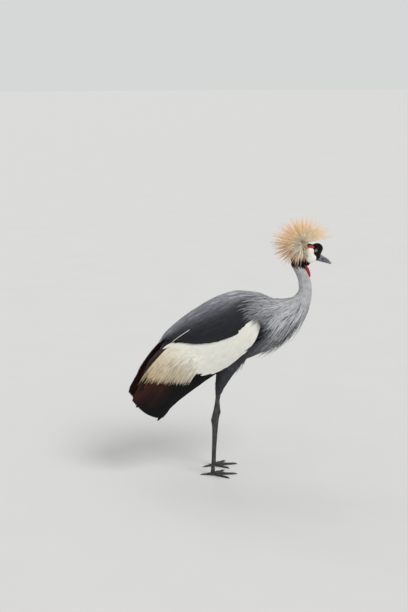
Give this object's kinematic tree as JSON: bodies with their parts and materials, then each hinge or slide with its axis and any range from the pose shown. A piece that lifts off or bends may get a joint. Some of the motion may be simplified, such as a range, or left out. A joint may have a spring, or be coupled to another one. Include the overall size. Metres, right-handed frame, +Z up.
{
  "type": "grey crowned crane, still museum model",
  "caption": "Life-size still model of a grey crowned crane standing at rest, with folded wings, a drooping wing plumage and an upright crown of bristles.",
  "frame": {"origin": "centre of the bounding box in X and Y, at the level of the soles", "axes": "+X the way the crane faces, +Y to its left, +Z up"},
  "size_m": [0.7272, 0.2366, 0.9175],
  "materials": {
    "feather_slate": "matt slate-grey plumage of back, breast and belly",
    "feather_grey": "soft light grey plumage of the neck",
    "feather_white": "white wing coverts with straw plumes, and chestnut and black flight feathers",
    "feather_black": "velvet black plumage of the head and black tail feathers",
    "crest_gold": "stiff golden bristles",
    "skin_white": "bare white cheek skin",
    "skin_red": "bare red skin",
    "bill_horn": "blue-grey horn",
    "eye": "wet pale grey-blue eye",
    "leg_scale": "dark grey scaled leg skin",
    "claw_horn": "black horn"
  },
  "bodies": {
    "root": {"torso": "feather_slate", "neck_lower": "feather_grey", "neck_upper": "feather_grey", "head": "feather_black", "bill_upper": "bill_horn", "bill_lower": "bill_horn", "eye_right": "eye", "eye_left": "eye", "cheek_right": "skin_white", "cheek_left": "skin_white", "brow_right": "skin_red", "brow_left": "skin_red", "crest": "crest_gold", "wattle": "skin_red", "wing_right": "feather_white", "wing_left": "feather_white", "tail": "feather_black", "thigh_right": "feather_slate", "thigh_left": "feather_slate", "shank_right": "leg_scale", "shank_left": "leg_scale", "tarsus_right": "leg_scale", "tarsus_left": "leg_scale", "foot_right": "leg_scale", "foot_left": "leg_scale", "claw_middle_right": "claw_horn", "claw_outer_right": "claw_horn", "claw_inner_right": "claw_horn", "claw_hind_right": "claw_horn", "claw_middle_left": "claw_horn", "claw_outer_left": "claw_horn", "claw_inner_left": "claw_horn", "claw_hind_left": "claw_horn"}
  },
  "joints": []
}
